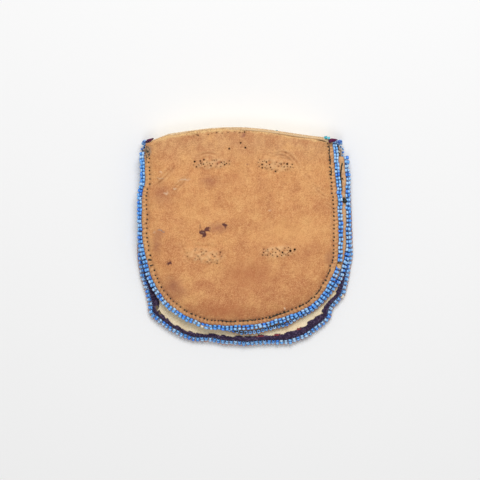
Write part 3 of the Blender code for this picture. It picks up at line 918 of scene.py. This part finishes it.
# x and y on the rim, and how far the wool reaches in from the middle of the edge beads there
woolInner = [
    (-50.0, 62.0, 1.6), (-51.0, 30, 1.7), (-52.4, 0, 2.0), (-51.3, -15.6, 2.2), (-50.4, -19.4, 2.3),
    (-49.2, -23.3, 2.5), (-48.0, -27.1, 3.4), (-47.2, -30.9, 4.1), (-46.4, -34.0, 4.2),
    (-45.3, -39.0, 3.6), (-41.1, -42.4, 3.1), (-38.6, -44.3, 2.6), (-32.7, -47.8, 2.8),
    (-28.0, -50.1, 3.0), (-20.3, -51.1, 2.6), (-14.9, -51.3, 2.8), (-9.2, -52.7, 3.3), (4.9, -53.0, 3.5),
    (12.6, -52.5, 3.4), (20.2, -52.5, 4.2), (24.0, -51.8, 4.6), (28.0, -50.6, 4.8), (33.0, -48.1, 4.4),
    (38.0, -44.3, 4.3), (42.4, -40.2, 3.9), (43.2, -37.0, 3.3), (45.8, -32.9, 2.6), (49.2, -29.0, 3.0),
    (50.6, -25.0, 3.2), (51.8, -19.4, 2.6), (53.0, -10, 2.0), (53.2, 0, 1.7), (51.6, 30.0, 1.4),
    (49.9, 43.0, 1.0), (47.4, 62.0, 1.2),
]


def makeWool():
    line = evenly(flapRim, woolStrip["lineStep"])
    out = outward(line)
    count = len(line)
    zero = np.zeros(count)
    reach = np.arange(count) * woolStrip["lineStep"]
    edge, thick = woolStrip["edge"], woolStrip["thick"]
    draw = np.random.default_rng(5)
    marks = np.cumsum(draw.uniform(0.7, 1.3, 80)) * woolStrip["pitch"]
    tuck = np.array([(r - max([0, *marks[marks <= r]])) / woolStrip["pitch"] for r in reach])
    tuck = np.clip(tuck, 0, 1)
    standing = ease((line[:, 1] - 44) / 6)
    spots = np.array(woolInner)
    inside = np.interp(np.arange(count), nearest(spots[:, :2], line)[1], spots[:, 2])
    ragged = woolStrip["step"] * (0.45 - tuck) + ripple(line, 1.0, 54) * 0.14 + ripple(line, 2.6, 55) * 0.16
    inside = inside + ragged * ease((inside - 1.6) / 1.6)
    inside = inside * (1 - standing) + (edge + 0.1) * standing
    face = hide / 2 + 0.14
    pleat = woolStrip["lift"] * tuck * (1 - standing)
    outside = woolStrip["outside"] * (1 - standing) + woolStrip["outsidePastFold"] * standing
    section = []  # how far inwards of the beads' middle, and how high, from the inner edge round the rim
    for share, up in ((0.0, 0.0), (0.03, 0.55), (0.14, 0.95), (0.4, 1.05), (0.75, 1.0)):
        section.append((-(inside - (inside - edge) * share), face + pleat * (1 - share) + thick * up))
    for turn in np.linspace(0, math.pi, 8)[1:-1]:
        section.append((zero - edge + 0.5 * math.sin(turn), zero + (face + thick) * math.cos(turn)))
    outer = [
        (edge, face + thick), (outside - 0.3, face + thick), (outside, face + thick / 2),
        (outside - 0.2, face), (edge + 0.3, face), (edge + 0.1, 0), (edge + 0.3, -face),
    ]
    section += [(zero - side, zero - lift) for side, lift in outer]
    rings = np.stack([onFlap(line + out * side[:, None], lift) for side, lift in section], axis=1)
    points, faces = sweep(rings)
    rough = np.column_stack([ripple(points, 1.0, seed) for seed in (51, 52, 53)])
    return newPiece("flapWool", points + rough * woolStrip["rough"], faces, finishes["wool"]), reach[-1]


flapWool, woolLength = makeWool()
crossesHinge(flapWool, "dark_wool", "flap_wool_binding")

print("stage: edge beads")

edgeBeads = {"long": 1.16, "wide": 1.92, "around": 14, "section": 8, "thin": 0.62}
rows = {
    "backEdgeBeads": {
        "rim": backRim, "place": onBack, "node": "back_edge_beads", "pitch": 2.06, "seed": 11,
        "lean": [(0, 20), (0.1, 25), (0.3, 12), (0.42, 4), (0.8, 4), (1, 8)],
        "gaps": [(47.7, -14.2, 1.3)], "odd": [(-21.0, -44.5)],
    },
    "frontEdgeBeads": {
        "rim": frontRim, "place": onFront, "node": "front_edge_beads", "pitch": 2.1, "seed": 12,
        "lean": [(0, 10), (0.4, 82), (0.66, 78), (0.72, 45), (0.8, 18), (0.9, 4), (1, -6)],
        "gaps": [], "odd": [],
    },
    "flapEdgeBeads": {
        "rim": flapRim, "place": onFlap, "node": "flap_edge_beads", "pitch": 2.12, "seed": 13, "size": 0.94,
        "lean": [
            (0, 20), (0.05, 55), (0.26, 48), (0.33, 40), (0.37, 22), (0.42, 44), (0.5, 50), (0.56, 34),
            (0.6, 16), (0.64, 30), (0.67, 42), (0.78, 50), (0.94, 55), (0.97, 20), (1, 15),
        ],
        "gaps": [], "odd": [(48.9, -29.6), (-44.8, -36.8)],
        "thin": [(49.9, 43.0, 2.7), (-50.8, 44.2, 2.2)],
    },
}


def rowOfPairs(name, row):
    draw = np.random.default_rng(row["seed"])
    line = evenly(row["rim"], row["pitch"])
    shift = draw.normal(0, 0.09, len(line)) + 0.1 * ripple(line, 6, row["seed"])
    line += outward(line) * shift[:, None]
    zero = np.zeros(len(line))
    here = row["place"](line, zero)
    away = unit(row["place"](line + outward(line) * 0.3, zero) - here)
    up = unit(row["place"](line, zero + 0.3) - here)
    share = np.linspace(0, 1, len(line))
    lean = np.radians(np.interp(share, *zip(*row["lean"])) + draw.normal(0, 6, len(line)))[:, None]
    skew = draw.normal(0, 0.1, len(line))[:, None]
    along = np.cross(up, away)
    axis = unit(away * np.cos(lean) - up * np.sin(lean) + along * skew)
    rise = unit(np.cross(axis, along))
    rise *= np.sign((rise * (up * np.cos(lean) + away * np.sin(lean))).sum(1))[:, None]
    centres, axes, ups, odds, sizes = [], [], [], [], []

    def near(spots, i):
        return any(math.hypot(here[i][0] - x, here[i][1] - y) < size for x, y, size in spots)

    for i in range(len(line)):
        if near(row["gaps"], i):
            continue
        thin = near(row.get("thin", []), i)
        spread = edgeBeads["long"] * draw.uniform(1.0, 1.12)
        for step in (0.0,) if thin else (-0.5, 0.5):
            sizes.append(edgeBeads["thin"] if thin else row.get("size", 1.0))
            centre = here[i] + axis[i] * step * spread
            centres.append(centre)
            axes.append(axis[i])
            ups.append(rise[i])
            pale = any(math.hypot(centre[0] - x, centre[1] - y) < 1.0 for x, y in row["odd"])
            odds.append(1.0 if pale and step > 0 else 0.0)
    bead = beadMesh(edgeBeads["long"], edgeBeads["wide"], edgeBeads["around"], edgeBeads["section"])
    return strung(name, finishes["blue"], bead, centres, axes, ups, draw, 1.0, sizes, odds)


for name, row in rows.items():
    carry = crossesHinge if name == "flapEdgeBeads" else onPouch
    carry(rowOfPairs(name, row), "blue_beads", row["node"])

print("stage: bead lanes under the flap")

lanes = {
    "row": 2.45, "lane": 13.5, "gap": 0.6, "count": 9, "inset": 8.1, "top": 48.6, "arch": 0.35,
    "long": 1.46, "wide": 2.3, "around": 9, "section": 5, "hole": 0.35,
}


def makeLanes():
    draw = np.random.default_rng(3)
    border = inset(flapRim, lanes["inset"])
    border = border[border[:, 1] < fold["start"]]
    left = border[:border[:, 1].argmin()]
    right = border[border[:, 1].argmin():]
    pitch = (lanes["lane"] - lanes["gap"]) / lanes["count"]
    centres = []
    for lane in range(-4, 5):
        for k in range(lanes["count"]):
            step = (k + 0.5) / lanes["count"] * 2 - 1
            y = lane * lanes["lane"] + step * pitch * lanes["count"] / 2
            if not border[:, 1].min() + 0.8 < y < lanes["top"]:
                continue
            start = np.interp(y, left[::-1, 1], left[::-1, 0])
            end = np.interp(y, right[:, 1], right[:, 0])
            for n in range(math.ceil(start / lanes["row"]), math.floor(end / lanes["row"]) + 1):
                at = onFlap(np.array([[n * lanes["row"], y]]), 0.0)[0]
                centres.append((at[0], at[1], lanes["wide"] / 2 + lanes["arch"] * step * step))
    print("lane beads", len(centres))
    bead = beadMesh(lanes["long"], lanes["wide"], lanes["around"], lanes["section"], lanes["hole"])
    return strung("flapBeadLanes", finishes["turquoise"], bead, centres, (0, 1, 0), (0, 0, 1), draw, 0.5)


flapBeadLanes = makeLanes()
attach(flapBeadLanes, "flap")
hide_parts("flap_bead_field")

print("stage: threads and loose fibres")

threads = {"radius": 0.27, "sink": 0.08}


def makeStitches():  # dark thread in the running stitch's holes
    draw = np.random.default_rng(23)
    lean = math.radians(28)
    spots = seamHoles
    count = len(spots)
    parts = []
    surface = surfaceOf(spots)
    for i in range(1, count - 1):
        share = i / count
        right = ease((share - 0.36) / 0.1)
        along = spots[i + 1] - spots[i - 1]
        along /= np.linalg.norm(along)
        half = 0.26 + right * draw.uniform(0.1, 0.34)
        if 0.46 < share < 0.7 and draw.uniform() < 0.35:
            half += 0.6
        turn = lean * ease((share - 0.72) / 0.06)
        along = along @ [[math.cos(turn), math.sin(turn)], [-math.sin(turn), math.cos(turn)]]
        steps = np.linspace(-1, 1, 7)
        plan = spots[i] + np.outer(steps * half, along) + draw.normal(0, 0.03, (7, 2))
        line = onBack(plan, 0)
        line[:, 2] = surface[i, 2] + 0.12 * (1 - steps**4) - 0.5 * np.abs(steps) ** 6 - threads["sink"]
        parts.append(strand(line, threads["radius"] * draw.uniform(0.75, 1.1)))
    return joined(parts)


def lump(centre, size, seed, rough=0.16):  # a small knot or tuft
    draw = np.random.default_rng(seed)
    turns = np.linspace(0, 2 * math.pi, 12, endpoint=False)
    rings = []
    for tilt in np.linspace(-math.pi / 2, math.pi / 2, 9)[1:-1]:
        around = math.cos(tilt)
        ring = np.column_stack([np.cos(turns) * around, np.sin(turns) * around, np.full(12, math.sin(tilt))])
        rings.append(ring * (1 + draw.normal(0, rough, (12, 1))) * size + centre)
    return sweep(np.array(rings))


def onPanel(panel, plan, over):  # places seen from above, at a height over a panel's upper face
    space = surfaceOf(laid(plan)) if panel == "back" else onFront(plan, hide / 2)
    space[:, 2] += over
    return space


def greyLoops():  # a tangle at the left end of the beads
    loops = [
        [(-48.9, 45.2), (-47.6, 44.9), (-46.9, 43.6), (-47.7, 42.2), (-48.9, 43.2), (-48.5, 44.6)],
        [(-48.9, 43.4), (-47.4, 42.6), (-46.9, 41.0), (-48.0, 39.8), (-48.9, 41.2), (-48.6, 42.4)],
        [(-48.7, 44.4), (-47.9, 42.0), (-48.6, 39.6), (-48.2, 38.0)],
    ]
    lines = [onPanel("back", smoothLine(points, 0.4), 0.16 + 0.12 * n) for n, points in enumerate(loops)]
    return joined([strand(line, 0.13) for line in lines])


def looseThreads():  # longer lengths of the same thread that lie on the hides, and its knots
    draw = np.random.default_rng(29)
    lengths = {  # on each panel: places seen from above, the height over it and the radius
        "back": [
            ([(42.6, 46.0), (43.0, 43.4), (42.7, 41.0), (43.1, 38.2), (43.3, 36.4)], 0.1, 0.2),
            ([(42.9, 39.6), (43.6, 38.2), (43.2, 37.0)], 0.14, 0.17),
            ([(43.5, 34.6), (43.9, 32.4), (43.7, 30.6)], 0.12, 0.24),
            ([(-11.6, -41.4), (-9.4, -41.9), (-6.8, -42.3), (-3.6, -42.2)], 0.14, 0.19),
            ([(-2.0, -42.0), (1.6, -41.6), (2.8, -41.3), (6.0, -41.5)], 0.12, 0.19),
            ([(12.2, -40.6), (16.4, -39.2), (21.0, -37.6), (22.6, -36.9)], 0.12, 0.19),
            ([(27.6, -35.0), (29.0, -34.2), (30.2, -33.4)], 0.12, 0.22),
            ([(36.4, -28.6), (37.6, -27.0), (38.6, -25.6)], 0.12, 0.22),
        ],
        "front": [
            ([(49.4, 37.0), (48.9, 34.4), (48.6, 31.0), (48.9, 27.6)], 0.4, 0.34),
            ([(49.0, 28.2), (49.2, 26.0), (49.2, 23.2)], 0.3, 0.2), ([(49.2, 29.6), (49.9, 28.6)], 0.5, 0.2),
            ([(-4.8, -47.0), (-2.0, -47.6), (1.4, -48.1)], 0.9, 0.2),
            ([(12.6, -45.0), (17.6, -43.6), (22.0, -41.8)], 1.0, 0.2),
            ([(26.0, -40.0), (30.0, -37.6), (33.0, -36.0)], 1.0, 0.18),
        ],
    }
    parts = []
    for panel, found in lengths.items():
        for points, over, radius in found:
            line = smoothLine(points, 0.5)
            line += draw.normal(0, 0.05, line.shape)
            parts.append(strand(onPanel(panel, line, over), radius))
    knots = {  # on each panel: x, y and size
        "front": [(50.7, 18.0, 1.0), (50.3, 19.2, 0.7)],
        "back": [
            (-47.0, -11.2, 0.62), (-46.2, -14.3, 0.45), (-8.6, -42.0, 0.6), (13.1, -40.3, 0.55),
            (22.3, -37.0, 0.5), (41.0, -21.6, 0.55), (43.0, -16.8, 0.45), (44.8, -8.1, 0.42),
            (-26.2, -38.2, 0.42), (-47.6, 42.8, 0.5),
        ],
    }
    spots = [(panel, *knot) for panel, found in knots.items() for knot in found]
    for n, (panel, x, y, size) in enumerate(spots):
        at = onPanel(panel, np.array([[x, y]]), 0.4 if panel == "front" else 0)[0]
        parts.append(lump(at, np.array([size, size * 0.9, size * 0.5]), 200 + n))
    return joined(parts)


onPouch(newPiece("seamStitches", *makeStitches(), finishes["thread"]), "tan_hide")
onPouch(newPiece("looseThreads", *looseThreads(), finishes["thread"]), "tan_hide")
onPouch(newPiece("greyLoops", *greyLoops(), finishes["grey"]), "tan_hide")


edgeWinding = {"step": 0.55, "wave": 0.16, "pitch": 2.2, "uneven": 0.08}


# The beads' own thread along a row's outer side
def edgeThread(rim, place, out, down, radius, start, end, seed):
    line = evenly(rim, edgeWinding["step"])
    line = line[int(len(line) * start):int(len(line) * end)]
    turns = np.arange(len(line)) * edgeWinding["step"] * 2 * math.pi / edgeWinding["pitch"]
    line = line + outward(line) * (out + edgeWinding["wave"] * np.sin(turns))[:, None]
    line = line + outward(line) * (edgeWinding["uneven"] * ripple(line, 3, seed))[:, None]
    return strand(place(line, np.full(len(line), -down)), radius, 5)


def makeTufts():  # the ends of the binding at the two top corners
    ends = [  # place and size
        ((44.4, 48.2, 10.6), (1.9, 0.95, 0.8)), ((43.2, 47.6, 10.4), (0.9, 0.8, 0.7)),
        ((-46.9, 48.2, 10.2), (1.3, 0.6, 0.7)), ((-48.2, 47.5, 9.9), (0.9, 0.6, 0.7)),
    ]
    return joined([lump(np.array(at), np.array(size), 300 + n, 0.1) for n, (at, size) in enumerate(ends)])


def makeWraps():  # pale turns of fibre round the gap in the back edge's beads
    lines = [[(46.6, y, 7.9), (47.3, y - 0.2, 8.8), (48.3, y - 0.5, 8.5), (48.7, y - 0.7, 7.4)]
             for y in (-13.6, -14.1, -14.6, -15.1)]
    return joined([strand(line, 0.3) for line in lines])


flapWinding = edgeThread(flapRim, onFlap, 1.22, 0.5, 0.15, 0.22, 0.92, 61)
frontWinding = edgeThread(frontRim, onFront, 1.0, 0.2, 0.16, 0.36, 0.75, 62)
crossesHinge(newPiece("bindingEnds", *makeTufts(), finishes["wool"]), "dark_wool")
onPouch(newPiece("paleWraps", *makeWraps(), finishes["fuzz"]), "tan_hide")
crossesHinge(newPiece("flapEdgeThread", *flapWinding, finishes["copper"]), "dark_wool")
onPouch(newPiece("frontEdgeThread", *frontWinding, finishes["copper"]), "tan_hide")


def makeFuzz(line, count, length, seed):  # short fibres that stand off a raw edge
    draw = np.random.default_rng(seed)
    parts = []
    for i in draw.integers(1, len(line) - 1, count):
        along = line[i + 1] - line[i - 1]
        out = np.array([-along[1], along[0], 0.0]) / max(np.linalg.norm(along[:2]), 1e-6)
        if out[1] < 0:
            out = -out
        aim = out * draw.uniform(0.2, 1) + np.array([draw.normal(0, 0.6), 0, draw.uniform(-0.2, 0.5)])
        bend = draw.normal(0, 0.4, 3)
        steps = np.linspace(0, 1, 4)[:, None]
        reach = length * draw.uniform(0.3, 1)
        start = line[i] + draw.normal(0, 0.1, 3)
        parts.append(strand(start + aim * steps * reach + bend * steps**2 * reach * 0.5, 0.045, 3, 0.7))
    return joined(parts)


def topFuzz():
    x = np.linspace(-44, 41, 400)
    edge = onBack(np.column_stack([x, np.full(400, pillow["top"] + 0.4)]), pillow["rise"])
    seam = onFlap(np.column_stack([x, np.full(400, fold["length"])]), np.zeros(400))
    return joined([makeFuzz(edge, 700, 0.9, 71), makeFuzz(seam, 700, 1.0, 72)])


onPouch(newPiece("rawEdgeFibres", *topFuzz(), finishes["fuzz"]), "cream_hide")


def makeStrays():  # end beads of the field's top lane, seen past the fold
    draw = np.random.default_rng(83)
    spots = [(41.2, 49.6, 10.4), (42.5, 49.3, 10.2), (40.4, 49.3, 9.4), (16.4, 52.5, 10.0), (21.2, 51.4, 10.0)]
    bead = beadMesh(1.2, 1.6, 10, 6)
    return strung("topLaneBeads", finishes["turquoise"], bead, spots, (1, -0.12, 0), (0, 0, 1), draw, 1.0)


crossesHinge(makeStrays(), "turquoise_beads")

print("stage: camera and light")

view = {"x": -1.75, "y": -1.5, "height": 1200.0, "across": 240.0, "level": 6.0}
camera = bpy.data.objects.new("camera", bpy.data.cameras.new("camera"))
camera.location = (view["x"] * mm, view["y"] * mm, view["height"] * mm)
camera.data.sensor_width = 36
camera.data.lens = 36 * (view["height"] - view["level"]) / view["across"]
camera.data.clip_end = 10
bpy.context.scene.collection.objects.link(camera)
bpy.context.scene.camera = camera

light = {"sky": 0.36, "floor": tone(248, 248, 248)}
lamps = [  # place and size in metres, and power in watts
    ("key", (0.08, 0.58, 0.98), 0.7, 8.2), ("fill", (-0.1, -0.5, 1.2), 0.5, 2.1),
]


def softLamp(name, at, size, power):
    lamp = bpy.data.lights.new(name, "AREA")
    lamp.shape = "DISK"
    lamp.size = size
    lamp.energy = power
    holder = bpy.data.objects.new(name, lamp)
    holder.location = at
    holder.rotation_mode = "QUATERNION"
    holder.rotation_quaternion = Vector(at).to_track_quat("Z", "Y")
    bpy.context.scene.collection.objects.link(holder)


for lamp in lamps:
    softLamp(*lamp)

world = bpy.data.worlds.new("studio")
world.use_nodes = True
sky = world.node_tree.nodes["Background"]
sky.inputs["Color"].default_value = (1, 1, 1, 1)
sky.inputs["Strength"].default_value = light["sky"]
bpy.context.scene.world = world


def makeFloor():
    half = 1500
    corners = [(-half, -half, 0), (half, -half, 0), (half, half, 0), (-half, half, 0)]
    paint = Finish("pale floor").close(Base_Color=light["floor"], Roughness=0.9, Specular_IOR_Level=0.1)
    floor = newPiece("floor", corners, [[0, 1, 2, 3]], paint, smooth=False)
    floor.location.z = -0.0002


makeFloor()
bpy.context.scene.view_settings.view_transform = "Standard"

print("stage: finish")
